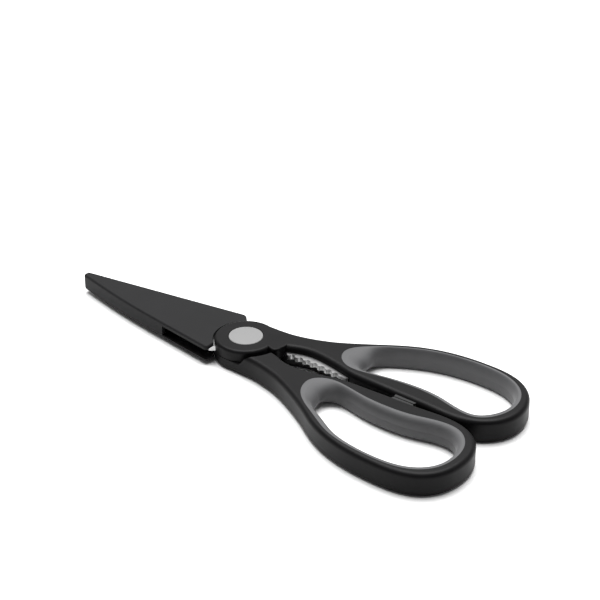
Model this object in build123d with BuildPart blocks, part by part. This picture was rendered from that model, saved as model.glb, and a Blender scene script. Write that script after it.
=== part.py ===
from build123d import *
import math
import os

os.makedirs("parts", exist_ok=True)

# ---------------------------------------------------------------- driving dimensions (mm)
# Pivot axis on the table = origin, +X towards the handles, +Z up.
thick = 10.4                 # handles and bosses, over both faces
edge_round = 2.1             # rounding of the handles' outer edges
boss_r = 13.4                # pivot boss of each half
boss_gap = 0.3               # between the two bosses at the parting plane
cone_low_r = 15.3            # step around the other half's boss, at the parting plane
cone_high_r = 17.6           # the same step at the outer face

blade_thick = 2.1            # steel of each blade
blade_gap = 0.1              # between the two blades
blade_disc_r = 11.4          # steel disc around the pivot, buried in the boss
tip_x = -82.0                # blade tip
blade_spine = 12.5           # spine to centre line at the heel
blade_edge = 6.0             # cutting edge to centre line at the heel
bevel_wide = 2.6             # ground bevel along the cutting edge
bevel_deep = 1.5

tooth_first_x = 22.9         # first gullet of the serrated jaw
tooth_pitch = 3.78
tooth_count = 7
gullet_r = 1.3

shank_r = 3.0                # pivot stud
bore_clear = 0.05            # running clearance in the blade that turns
head_r = 5.9
nut_flats = 10.0
cap_r = 7.5                  # brushed disc on each face
cap_thick = 0.8
cap_seat_r = 7.56
well_r = 6.6                 # recess round the stud head and round the nut

grip_sink = 0.12             # grip faces below the handle faces
grip_rim = 0.15              # width of the grip's rim at the faces
scoop_high = 1.6             # height of the flare from each face to the finger wall

pad_from, pad_to = 75.5, 85.5   # stop pads between the arms
pad_face = 0.25              # pad face to centre line

sheath_thick = 7.85
sheath_low = 1.5             # underside above the table
sheath_half = 16.0           # half width at the mouth
sheath_wall = 1.6            # long sides
sheath_mouth_x = -8.5
sheath_mouth_r = 14.1        # mouth arc around the boss
sheath_tip_x = -93.9
sheath_round = 1.1           # long edges of the upper face
sheath_under_round = 1.2
sheath_taper = 8.8           # each long side to the axis, degrees
pocket_low, pocket_high = 2.7, 7.7
pocket_end_x = -85.0
window_from = -37.0          # drain window in the near side, from here to the mouth
window_high = 7.4
slot_high = 5.5              # slot in the far side, for the blade that swings out

mid = thick / 2
slope = math.tan(math.radians(sheath_taper))

# ---------------------------------------------------------------- outlines
# The lower half's points are given turned over, as if it lay where the upper half lies.
boss_side = [                # inside the boss, the same for both halves
    (18.0, 3.4), (12.5, 3.0), (4.0, 2.8), (-4.5, 4.2), (-8.1, 8.2), (-5.2, 12.1),
]
inner_side = [               # the side that faces the other arm
    (103.3, 0.5), (90.0, 1.0), (76.7, 1.5), (60.0, 2.1), (50.3, 2.9), (45.3, 4.2),
    (38.6, 5.6), (32.0, 6.5), (26.5, 6.2), (22.0, 4.8),
]
arm_upper = [
    (0.5, 13.5), (8.0, 13.5), (15.0, 14.0), (20.0, 15.0), (25.0, 16.5), (33.0, 19.8),
    (39.7, 23.6), (49.8, 30.0), (59.0, 35.6), (69.7, 40.1), (83.3, 42.8), (94.0, 43.2),
    (105.0, 42.1), (113.2, 38.7), (119.6, 32.2), (122.9, 24.0), (122.7, 15.0),
    (119.0, 7.8), (112.6, 2.8),
] + inner_side + boss_side
arm_lower = [
    (0.5, 13.4), (8.0, 13.7), (15.0, 14.2), (20.0, 15.2), (25.0, 16.5), (33.0, 19.6),
    (40.0, 23.1), (50.3, 29.1), (59.3, 35.0), (69.7, 39.9), (83.3, 43.2), (94.0, 44.1),
    (105.2, 43.7), (114.3, 40.6), (120.9, 33.4), (123.4, 24.2), (122.7, 15.0),
    (119.0, 7.7), (112.6, 2.8),
] + inner_side + boss_side
web_outline = [
    (7.5, 3.6), (10.2, -0.2), (13.8, -1.6), (16.2, -1.9), (17.6, -0.7), (18.1, 1.6),
    (18.6, 4.8), (17.6, 8.6), (11.0, 8.4),
]
hole_upper = [
    (40.7, 14.4), (43.1, 9.6), (48.0, 6.4), (57.0, 6.3), (66.0, 7.9), (78.0, 9.0),
    (90.0, 8.2), (102.0, 5.3), (110.9, 5.6), (117.2, 12.0), (119.2, 22.5), (115.4, 32.2),
    (107.2, 38.3), (95.0, 40.8), (82.0, 40.2), (69.5, 37.5), (58.0, 32.2), (46.0, 23.9),
]
hole_lower = [
    (41.9, 14.0), (42.9, 9.6), (47.9, 6.3), (57.1, 6.3), (66.1, 8.0), (78.0, 8.8),
    (89.8, 7.8), (101.9, 5.1), (110.6, 6.1), (116.8, 12.1), (119.3, 22.6), (116.3, 33.2),
    (107.8, 39.8), (95.0, 41.6), (82.0, 40.6), (69.6, 37.4), (58.8, 31.4), (46.8, 23.3),
]
# finger openings at mid height: the grip scoops in, most of all at the front
neck_upper = [
    (50.8, 15.8), (51.4, 11.6), (55.0, 9.1), (60.5, 8.8), (68.0, 10.3), (78.5, 11.6),
    (90.5, 11.0), (101.8, 8.3), (108.7, 8.5), (114.2, 13.6), (116.6, 22.8), (113.1, 31.4),
    (106.3, 36.7), (95.0, 39.1), (82.5, 38.8), (69.9, 36.1), (58.8, 31.1), (50.8, 23.4),
]
neck_lower = [
    (50.2, 15.8), (50.5, 11.9), (53.8, 9.2), (59.5, 8.9), (68.0, 10.7), (78.5, 11.6),
    (90.4, 10.7), (101.6, 8.1), (108.8, 8.9), (114.2, 13.8), (116.7, 22.8), (113.6, 31.6),
    (106.4, 36.9), (95.0, 38.9), (82.6, 38.0), (71.2, 34.8), (61.0, 29.2), (51.8, 22.2),
]
tooth_line = [
    (20.6, 1.9), (24.9, 2.5), (30.0, 2.8), (35.0, 2.8), (39.6, 2.5), (46.8, 1.8), (50.4, 1.7),
]


def closed_curve(points):
    with BuildLine() as curve:
        Spline(*points, periodic=True)
    return curve.line


def round_faces(solid, radius):
    """Round the upper and lower outlines of a flat moulding."""
    top = solid.faces().sort_by(Axis.Z)[-1].outer_wire().edges()
    low = solid.faces().sort_by(Axis.Z)[0].outer_wire().edges()
    fillet(top + low, radius)


# ---------------------------------------------------------------- blades
def make_blade():
    """Upper half's blade: cutting blade, pivot disc, serrated jaw and tang in one steel plate."""
    low = mid + blade_gap / 2
    with BuildPart() as blade:
        with BuildSketch(Plane.XY.offset(low)):
            Circle(blade_disc_r)
            with BuildLine():                       # cutting blade, spine on -Y
                tip = (tip_x, -0.9)
                Polyline(tip, (-14.0, -blade_spine + 0.75), (-10.0, -blade_spine))
                Polyline((-10.0, -blade_spine), (-6.5, -9.4), (-5.0, 0.0), (-8.0, blade_edge))
                Spline((-8.0, blade_edge), (-14.0, blade_edge + 0.2), (-50.0, 3.4), (tip_x + 2, 0.2))
                Line((tip_x + 2, 0.2), tip)
            make_face()
            with BuildLine():                       # tang inside the arm, jaw on -Y
                Spline((6.0, 9.0), (14.0, 9.3), (22.0, 10.2), (32.0, 11.6))
                Polyline((32.0, 11.6), (37.0, 10.6), (42.5, 6.7), (47.5, 4.6), (50.9, 3.3), (51.5, 2.3),
                         (50.4, 1.7))
                Spline(*reversed(tooth_line))
                Polyline((20.6, 1.9), (19.2, 3.2), (12.0, 5.0), (6.0, 9.0))
            make_face()
        extrude(amount=blade_thick)
        with BuildSketch(Plane.XY.offset(low)):
            for i in range(tooth_count):
                x = tooth_first_x + i * tooth_pitch
                # the gullets follow the tip line: high in the middle, lower at both ends
                y = 2.9 - 0.0052 * (x - 32.0) ** 2 - 0.28
                with Locations((x, y)):
                    Circle(gullet_r)
                with Locations((x - 0.75, y - 1.4)):
                    Rectangle(1.1, 2.0)
        extrude(amount=blade_thick, mode=Mode.SUBTRACT)
        with BuildSketch(Plane.XY.offset(low)):
            Circle(shank_r)
        extrude(amount=blade_thick, mode=Mode.SUBTRACT)
        # ground bevel: the upper face falls to the edge over bevel_wide
        top = low + blade_thick
        with BuildSketch(Plane((-14.0, 0, 0), x_dir=(0, 1, 0), z_dir=(-1, 0, 0))) :
            with BuildLine():
                Polyline((blade_edge + 0.2 - bevel_wide, top + 0.01), (blade_edge + 1.0, top + 0.01),
                         (blade_edge + 1.0, top - bevel_deep - 0.4), close=True)
            make_face()
        with BuildSketch(Plane((tip_x - 1, 0, 0), x_dir=(0, 1, 0), z_dir=(-1, 0, 0))):
            with BuildLine():
                Polyline((0.1 - bevel_wide, top + 0.01), (0.9, top + 0.01),
                         (0.9, top - bevel_deep - 0.4), close=True)
            make_face()
        loft(mode=Mode.SUBTRACT)
    return blade


# ---------------------------------------------------------------- handles
def make_handle(blade, arm_outline, hole_outline):
    """Upper half's handle: arm and loop at full height, boss above the parting plane."""
    with BuildPart() as arm:
        with BuildSketch():
            make_face(closed_curve(arm_outline))
        extrude(amount=thick)
        round_faces(arm, edge_round)
        with BuildSketch():
            make_face(closed_curve(hole_outline))
        extrude(amount=thick, mode=Mode.SUBTRACT)
        # room for the other half's boss below the parting plane
        with BuildSketch(Plane.XY):
            Circle(cone_high_r)
        with BuildSketch(Plane.XY.offset(mid + boss_gap / 2)):
            Circle(cone_low_r)
        loft(mode=Mode.SUBTRACT)

    with BuildPart() as boss:
        with BuildSketch(Plane.XY.offset(mid + boss_gap / 2)):
            Circle(boss_r)
        extrude(amount=thick - mid - boss_gap / 2)
        fillet(boss.faces().sort_by(Axis.Z)[-1].outer_wire().edges(), 1.5)

    with BuildPart() as web:
        with BuildSketch(Plane.XY.offset(mid + boss_gap / 2)):
            make_face(closed_curve(web_outline))
        extrude(amount=thick - mid - boss_gap / 2)
        fillet(web.faces().sort_by(Axis.Z)[-1].outer_wire().edges(), 0.7)

    with BuildPart() as handle:
        add(arm.part)
        add(boss.part)
        add(web.part)
        with BuildSketch(Plane.XY.offset(thick)):
            Circle(cap_seat_r)
        extrude(amount=-cap_thick, mode=Mode.SUBTRACT)
        with BuildSketch(Plane.XY.offset(thick)):
            Circle(well_r)
        extrude(amount=-(thick - mid), mode=Mode.SUBTRACT)
        add(blade.part, mode=Mode.SUBTRACT)
        # seat of the stop pad
        with BuildSketch(Plane.XY.offset(1.2)):
            with Locations(((pad_from + pad_to) / 2, 2.0)):
                Rectangle(pad_to - pad_from, 2.0)
        extrude(amount=thick - 2.4, mode=Mode.SUBTRACT)
    return handle


# ---------------------------------------------------------------- soft grips
def make_grip(hole_outline, neck_outline):
    """Soft insert: fills the loop, scooped to the finger opening from both faces."""
    rim = inset(hole_outline, grip_rim - 0.1)
    with BuildPart() as grip:
        with BuildSketch(Plane.XY.offset(grip_sink)):
            make_face(closed_curve(hole_outline))
        extrude(amount=thick - 2 * grip_sink)
        for face_z, scoop_z in ((-0.2, scoop_high), (thick + 0.2, thick - scoop_high)):
            with BuildSketch(Plane.XY.offset(face_z)):
                make_face(closed_curve(rim))
            with BuildSketch(Plane.XY.offset(scoop_z)):
                make_face(closed_curve(blend(rim, neck_outline)))
            with BuildSketch(Plane.XY.offset(mid)):
                make_face(closed_curve(neck_outline))
            loft(mode=Mode.SUBTRACT)
    return grip


def inset(points, distance):
    """Move each point of a closed outline towards its inside."""
    moved = []
    for i, (x, y) in enumerate(points):
        xa, ya = points[i - 1]
        xb, yb = points[(i + 1) % len(points)]
        length = math.hypot(xb - xa, yb - ya)
        moved.append((x - (yb - ya) / length * distance, y + (xb - xa) / length * distance))
    return moved


def blend(rim, neck):
    """Points between rim and neck: nearly at the neck on the sides, less far in at the front."""
    points = []
    for (xa, ya), (xb, yb) in zip(rim, neck):
        share = 0.76 if xa < 50 else 0.92
        points.append((xa + (xb - xa) * share, ya + (yb - ya) * share))
    return points


# ---------------------------------------------------------------- small parts
def make_cap():
    with BuildPart() as cap:
        with BuildSketch(Plane.XY.offset(thick - cap_thick)):
            Circle(cap_r)
        extrude(amount=cap_thick)
        chamfer(cap.faces().sort_by(Axis.Z)[-1].edges(), 0.3)
    return cap


def make_pad():
    with BuildPart() as pad:
        with BuildSketch(Plane.XY.offset(1.2)):
            with Locations(((pad_from + pad_to) / 2, (3.0 + pad_face) / 2)):
                Rectangle(pad_to - pad_from, 3.0 - pad_face)
        extrude(amount=thick - 2.4)
        fillet(pad.edges().filter_by(Axis.Z).sort_by(Axis.Y)[:2], 0.8)
    return pad


def turned_over(half):
    """The same piece turned over about the X axis through the parting plane."""
    return Location((0, 0, thick), (180, 0, 0)) * half.part


# ---------------------------------------------------------------- build: upper half, loop on +Y
blade_upper = make_blade()
handle_upper = make_handle(blade_upper, arm_upper, hole_upper)
grip_upper = make_grip(hole_upper, neck_upper)
cap_upper = make_cap()
stop_pad_upper = make_pad()

# ---------------------------------------------------------------- build: lower half, loop on -Y
with BuildPart() as blade_lower:
    add(turned_over(blade_upper))
    with BuildSketch(Plane.XY):
        Circle(shank_r + bore_clear)
    extrude(amount=thick, mode=Mode.SUBTRACT)
with BuildPart() as handle_lower:
    add(turned_over(make_handle(blade_upper, arm_lower, hole_lower)))
with BuildPart() as grip_lower:
    add(turned_over(make_grip(hole_lower, neck_lower)))
with BuildPart() as cap_lower:
    add(turned_over(cap_upper))
with BuildPart() as stop_pad_lower:
    add(turned_over(stop_pad_upper))

# ---------------------------------------------------------------- pivot stud, washer and nut
blade_top = mid + blade_gap / 2 + blade_thick
blade_low = thick - blade_top
head_thick = 1.6
nut_low, nut_thick = 1.0, 1.35
washer_thick = 0.5

with BuildPart() as pivot_stud:
    with BuildSketch(Plane.XY.offset(nut_low)):
        Circle(shank_r)
    extrude(amount=blade_top - nut_low)
    with BuildSketch(Plane.XY.offset(blade_top)):
        Circle(head_r)
    extrude(amount=head_thick)
    fillet(pivot_stud.faces().sort_by(Axis.Z)[-1].edges(), 0.5)

with BuildPart() as pivot_nut:
    with BuildSketch(Plane.XY.offset(nut_low)):
        RegularPolygon(nut_flats / 2, 6, major_radius=False)
        Circle(shank_r, mode=Mode.SUBTRACT)
    extrude(amount=nut_thick)

with BuildPart() as spring_washer:
    with BuildSketch(Plane.XY.offset(nut_low + nut_thick)):
        Circle(5.6)
        Circle(shank_r, mode=Mode.SUBTRACT)
    extrude(amount=washer_thick)

# ---------------------------------------------------------------- sheath
def half_width(x):
    return sheath_half + (x + 9.0) * slope


with BuildPart() as sheath:
    mouth = half_width(sheath_mouth_x)
    with BuildSketch(Plane.XY.offset(sheath_low)) as plan:
        with BuildLine():
            Polyline((-45.0, -10.6), (sheath_mouth_x, -mouth), (sheath_mouth_x, mouth - 4.4),
                     (sheath_mouth_x - 3.6, mouth - 0.56), (sheath_tip_x, half_width(sheath_tip_x)),
                     (sheath_tip_x, -0.2), (-92.0, -0.9))
            # the near side bends in towards the tip
            Spline((-92.0, -0.9), (-80.3, -3.7), (-67.5, -6.6), (-56.5, -8.7), (-45.0, -10.6))
        make_face()
        Circle(sheath_mouth_r, mode=Mode.SUBTRACT)
        fillet(plan.vertices().group_by(Axis.X)[0], 1.3)
        fillet(plan.vertices().sort_by(Axis.Y)[0], 1.6)
        fillet(plan.vertices().sort_by(Axis.Y)[-1], 2.6)
    extrude(amount=sheath_thick)
    for face, radius in ((-1, sheath_round), (0, sheath_under_round)):
        rim_edges = sheath.faces().sort_by(Axis.Z)[face].edges()
        fillet([e for e in rim_edges if e.center().X < -16 or abs(e.center().Y) > 13], radius)
    # pocket for the closed blades, walled on both sides and at the nose
    with BuildSketch(Plane.XY.offset(pocket_low)):
        with BuildLine():
            mouth_in = half_width(0.0) - sheath_wall
            Polyline((pocket_end_x, -0.7), (-67.5, -4.9), (-45.0, -9.0), (0, -mouth_in), (0, mouth_in),
                     (pocket_end_x, half_width(pocket_end_x) - sheath_wall), close=True)
        make_face()
    extrude(amount=pocket_high - pocket_low, mode=Mode.SUBTRACT)
    # drain window in the near side
    with BuildSketch(Plane.XY.offset(pocket_low)):
        with BuildLine():
            Polyline((window_from, -20), (window_from, -5), (0, -5), (0, -20), close=True)
        make_face()
    extrude(amount=window_high - pocket_low, mode=Mode.SUBTRACT)
    # slot in the far side
    with BuildSketch(Plane.XY.offset(pocket_low)):
        with BuildLine():
            Polyline((pocket_end_x, 0), (0, 0), (0, 20), (pocket_end_x, 20), close=True)
        make_face()
    extrude(amount=slot_high - pocket_low, mode=Mode.SUBTRACT)

# ---------------------------------------------------------------- labels and export
handle_upper.part.label = "handle_upper"
export_step(handle_upper.part, "parts/handle_upper.step")
handle_lower.part.label = "handle_lower"
export_step(handle_lower.part, "parts/handle_lower.step")
grip_upper.part.label = "grip_upper"
export_step(grip_upper.part, "parts/grip_upper.step")
grip_lower.part.label = "grip_lower"
export_step(grip_lower.part, "parts/grip_lower.step")
blade_upper.part.label = "blade_upper"
export_step(blade_upper.part, "parts/blade_upper.step")
blade_lower.part.label = "blade_lower"
export_step(blade_lower.part, "parts/blade_lower.step")
cap_upper.part.label = "cap_upper"
export_step(cap_upper.part, "parts/cap_upper.step")
cap_lower.part.label = "cap_lower"
export_step(cap_lower.part, "parts/cap_lower.step")
stop_pad_upper.part.label = "stop_pad_upper"
export_step(stop_pad_upper.part, "parts/stop_pad_upper.step")
stop_pad_lower.part.label = "stop_pad_lower"
export_step(stop_pad_lower.part, "parts/stop_pad_lower.step")
pivot_stud.part.label = "pivot_stud"
export_step(pivot_stud.part, "parts/pivot_stud.step")
pivot_nut.part.label = "pivot_nut"
export_step(pivot_nut.part, "parts/pivot_nut.step")
spring_washer.part.label = "spring_washer"
export_step(spring_washer.part, "parts/spring_washer.step")
sheath.part.label = "sheath"
export_step(sheath.part, "parts/sheath.step")
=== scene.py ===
import bpy
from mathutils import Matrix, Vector

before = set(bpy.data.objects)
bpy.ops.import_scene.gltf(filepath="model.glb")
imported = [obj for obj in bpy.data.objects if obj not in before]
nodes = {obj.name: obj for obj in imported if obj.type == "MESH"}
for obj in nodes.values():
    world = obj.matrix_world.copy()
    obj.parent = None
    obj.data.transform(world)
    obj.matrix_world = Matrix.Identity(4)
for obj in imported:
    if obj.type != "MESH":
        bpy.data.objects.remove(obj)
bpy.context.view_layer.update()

# ------------------------------------------------------------------ sizes and places (m)
FLOOR_SIZE = 6.0

CAMERA_PLACE = Vector((0.3851, -0.4729, 0.3739))
CAMERA_AIM = Vector((-0.0126, 0.0548, -0.0015))
CAMERA_LENS = 100.50                            # mm
CAMERA_SENSOR = 36.0                            # mm

LIGHT_PLACE = (-0.18, 0.24, 1.1)
LIGHT_SIZE = (1.2, 1.0)
LIGHT_POWER = 29.0                              # W
BRIGHT_SIDE = (-0.45, 0.60, 0.66)               # where the sky is brightest, behind the shears

# ------------------------------------------------------------------ materials


def new_material(name):
    material = bpy.data.materials.new(name)
    material.use_nodes = True
    tree = material.node_tree
    return material, tree, tree.nodes["Principled BSDF"]


def add_node(tree, kind, **settings):
    node = tree.nodes.new(kind)
    for key, value in settings.items():
        setattr(node, key, value)
    return node


def object_coordinates(tree, scale=(1, 1, 1)):
    place = add_node(tree, "ShaderNodeTexCoord")
    mapping = add_node(tree, "ShaderNodeMapping")
    mapping.inputs["Scale"].default_value = scale
    tree.links.new(place.outputs["Object"], mapping.inputs["Vector"])
    return mapping.outputs["Vector"]


def noise(tree, vector, scale, detail=3.0, roughness=0.55):
    node = add_node(tree, "ShaderNodeTexNoise")
    node.inputs["Scale"].default_value = scale
    node.inputs["Detail"].default_value = detail
    node.inputs["Roughness"].default_value = roughness
    tree.links.new(vector, node.inputs["Vector"])
    return node.outputs["Fac"]


def ramp(tree, factor, stops):
    """Colour ramp through (position, value or colour) stops."""
    node = add_node(tree, "ShaderNodeValToRGB")
    elements = node.color_ramp.elements
    while len(elements) < len(stops):
        elements.new(0.5)
    for element, (position, colour) in zip(elements, stops):
        if not isinstance(colour, tuple):
            colour = (colour,) * 3
        element.position = position
        element.color = (*colour, 1)
    tree.links.new(factor, node.inputs["Fac"])
    return node.outputs["Color"]


def bump(tree, height, strength, distance):
    node = add_node(tree, "ShaderNodeBump")
    node.inputs["Strength"].default_value = strength
    node.inputs["Distance"].default_value = distance
    tree.links.new(height, node.inputs["Height"])
    return node.outputs["Normal"]


def moulded_plastic(name, dark, light, rough_low, rough_high, grain, grain_depth, specular):
    """Black moulding: fine spark-eroded grain, faint flow clouds in colour and gloss."""
    material, tree, shader = new_material(name)
    where = object_coordinates(tree)
    clouds = noise(tree, where, 55.0, 4.0)
    fine = noise(tree, where, grain, 2.0, 0.6)
    tree.links.new(ramp(tree, clouds, [(0.3, dark), (0.7, light)]), shader.inputs["Base Color"])
    tree.links.new(
        ramp(tree, clouds, [(0.3, rough_low), (0.7, rough_high)]), shader.inputs["Roughness"]
    )
    tree.links.new(bump(tree, fine, 0.5, grain_depth), shader.inputs["Normal"])
    shader.inputs["Specular IOR Level"].default_value = specular
    return material


def soft_rubber(name, dark, light):
    """Grey soft-touch moulding: powdery bloom over a very fine grain."""
    material, tree, shader = new_material(name)
    where = object_coordinates(tree)
    clouds = noise(tree, where, 70.0, 5.0)
    fine = noise(tree, where, 4200.0, 2.0, 0.6)
    tree.links.new(ramp(tree, clouds, [(0.3, dark), (0.7, light)]), shader.inputs["Base Color"])
    tree.links.new(ramp(tree, clouds, [(0.3, 0.55), (0.7, 0.66)]), shader.inputs["Roughness"])
    tree.links.new(bump(tree, fine, 0.45, 0.00004), shader.inputs["Normal"])
    shader.inputs["Specular IOR Level"].default_value = 0.35
    shader.inputs["Sheen Weight"].default_value = 0.12
    shader.inputs["Sheen Roughness"].default_value = 0.45
    return material


def ground_steel(name, stretch, dark, light, rough_low, rough_high):
    """Ground steel: lines drawn out along the axis with the smallest stretch value.

    Three equal values give an even mottling without lines.
    """
    material, tree, shader = new_material(name)
    where = object_coordinates(tree, stretch)
    lines = noise(tree, where, 1.0, 6.0, 0.65)
    patches = noise(tree, object_coordinates(tree), 45.0, 3.0)
    tree.links.new(ramp(tree, lines, [(0.3, dark), (0.7, light)]), shader.inputs["Base Color"])
    tree.links.new(
        ramp(tree, patches, [(0.3, rough_low), (0.7, rough_high)]), shader.inputs["Roughness"]
    )
    tree.links.new(bump(tree, lines, 0.25, 0.00002), shader.inputs["Normal"])
    shader.inputs["Metallic"].default_value = 1.0
    return material


def turned_steel(name, dark, light, rough):
    """Steel disc with fine turning marks: rings round the pivot axis, broken by noise."""
    material, tree, shader = new_material(name)
    place = add_node(tree, "ShaderNodeTexCoord")
    split = add_node(tree, "ShaderNodeSeparateXYZ")
    tree.links.new(place.outputs["Object"], split.inputs["Vector"])
    flat = add_node(tree, "ShaderNodeCombineXYZ")
    tree.links.new(split.outputs["X"], flat.inputs["X"])
    tree.links.new(split.outputs["Y"], flat.inputs["Y"])
    length = add_node(tree, "ShaderNodeVectorMath", operation="LENGTH")
    tree.links.new(flat.outputs["Vector"], length.inputs[0])
    rings = add_node(tree, "ShaderNodeCombineXYZ")
    tree.links.new(length.outputs["Value"], rings.inputs["X"])
    marks = noise(tree, rings.outputs["Vector"], 9000.0, 4.0, 0.7)
    tree.links.new(ramp(tree, marks, [(0.3, dark), (0.7, light)]), shader.inputs["Base Color"])
    tree.links.new(
        ramp(tree, marks, [(0.3, rough - 0.04), (0.7, rough + 0.05)]), shader.inputs["Roughness"]
    )
    tree.links.new(bump(tree, marks, 0.2, 0.00001), shader.inputs["Normal"])
    shader.inputs["Metallic"].default_value = 1.0
    return material


def dress(node_names, material):
    for name in node_names:
        mesh_object = nodes[name]
        mesh_object.data.materials.clear()
        mesh_object.data.materials.append(material)


handle_plastic = moulded_plastic(
    "handle_plastic", (0.0036, 0.0035, 0.0038), (0.0056, 0.0054, 0.0058),
    rough_low=0.38, rough_high=0.45, grain=2600.0, grain_depth=0.00003, specular=0.10,
)
sheath_plastic = moulded_plastic(
    "sheath_plastic", (0.0095, 0.0095, 0.0100), (0.0122, 0.0122, 0.0128),
    rough_low=0.48, rough_high=0.56, grain=2200.0, grain_depth=0.00005, specular=0.10,
)
pad_rubber = soft_rubber("pad_rubber", (0.006, 0.006, 0.0063), (0.009, 0.009, 0.0093))
grip_rubber = soft_rubber("grip_rubber", (0.064, 0.064, 0.066), (0.080, 0.080, 0.083))
blade_steel = ground_steel("blade_steel", (60.0, 3500.0, 3500.0), 0.36, 0.46, 0.26, 0.34)
pivot_steel = ground_steel("pivot_steel", (900.0, 900.0, 900.0), 0.48, 0.58, 0.30, 0.40)
cap_steel = turned_steel("cap_steel", 0.34, 0.41, 0.30)

dress(["handle_upper", "handle_lower"], handle_plastic)
dress(["grip_upper", "grip_lower"], grip_rubber)
dress(["stop_pad_upper", "stop_pad_lower"], pad_rubber)
dress(["blade_upper", "blade_lower"], blade_steel)
dress(["pivot_stud", "pivot_nut", "spring_washer"], pivot_steel)
dress(["cap_upper", "cap_lower"], cap_steel)
dress(["sheath"], sheath_plastic)

# ------------------------------------------------------------------ floor, lights, camera
bpy.ops.mesh.primitive_plane_add(size=FLOOR_SIZE, location=(0, 0, 0))
floor = bpy.context.object
floor.name = "floor"
floor_material, floor_tree, floor_shader = new_material("floor_paper")
floor_clouds = noise(floor_tree, object_coordinates(floor_tree), 3.0, 2.0)
floor_tree.links.new(
    ramp(floor_tree, floor_clouds, [(0.3, (0.92, 0.92, 0.92)), (0.7, (0.94, 0.94, 0.94))]),
    floor_shader.inputs["Base Color"],
)
floor_shader.inputs["Roughness"].default_value = 0.9
floor_shader.inputs["Specular IOR Level"].default_value = 0.1
floor.data.materials.append(floor_material)

world = bpy.data.worlds.new("studio")
world.use_nodes = True
sky = world.node_tree
sky_place = add_node(sky, "ShaderNodeTexCoord")
sky_side = add_node(sky, "ShaderNodeVectorMath", operation="DOT_PRODUCT")
sky_side.inputs[1].default_value = BRIGHT_SIDE
sky.links.new(sky_place.outputs["Generated"], sky_side.inputs[0])
sky.links.new(
    ramp(sky, sky_side.outputs["Value"], [(0.0, 0.12), (0.5, 0.40), (1.0, 0.85)]),
    sky.nodes["Background"].inputs["Color"],
)
sky.nodes["Background"].inputs["Strength"].default_value = 1.0
bpy.context.scene.world = world

softbox_data = bpy.data.lights.new("overhead", "AREA")
softbox_data.shape = "RECTANGLE"
softbox_data.size, softbox_data.size_y = LIGHT_SIZE
softbox_data.energy = LIGHT_POWER
softbox = bpy.data.objects.new("overhead", softbox_data)
softbox.location = LIGHT_PLACE
softbox.rotation_mode = "QUATERNION"
# aimed at the origin
softbox.rotation_quaternion = (-Vector(LIGHT_PLACE)).to_track_quat("-Z", "Y")
bpy.context.scene.collection.objects.link(softbox)

camera_data = bpy.data.cameras.new("camera")
camera_data.lens = CAMERA_LENS
camera_data.sensor_width = CAMERA_SENSOR
camera = bpy.data.objects.new("camera", camera_data)
camera.location = CAMERA_PLACE
camera.rotation_mode = "QUATERNION"
camera.rotation_quaternion = (CAMERA_AIM - CAMERA_PLACE).to_track_quat("-Z", "Y")
bpy.context.scene.collection.objects.link(camera)
bpy.context.scene.camera = camera
bpy.context.scene.view_settings.view_transform = "Standard"
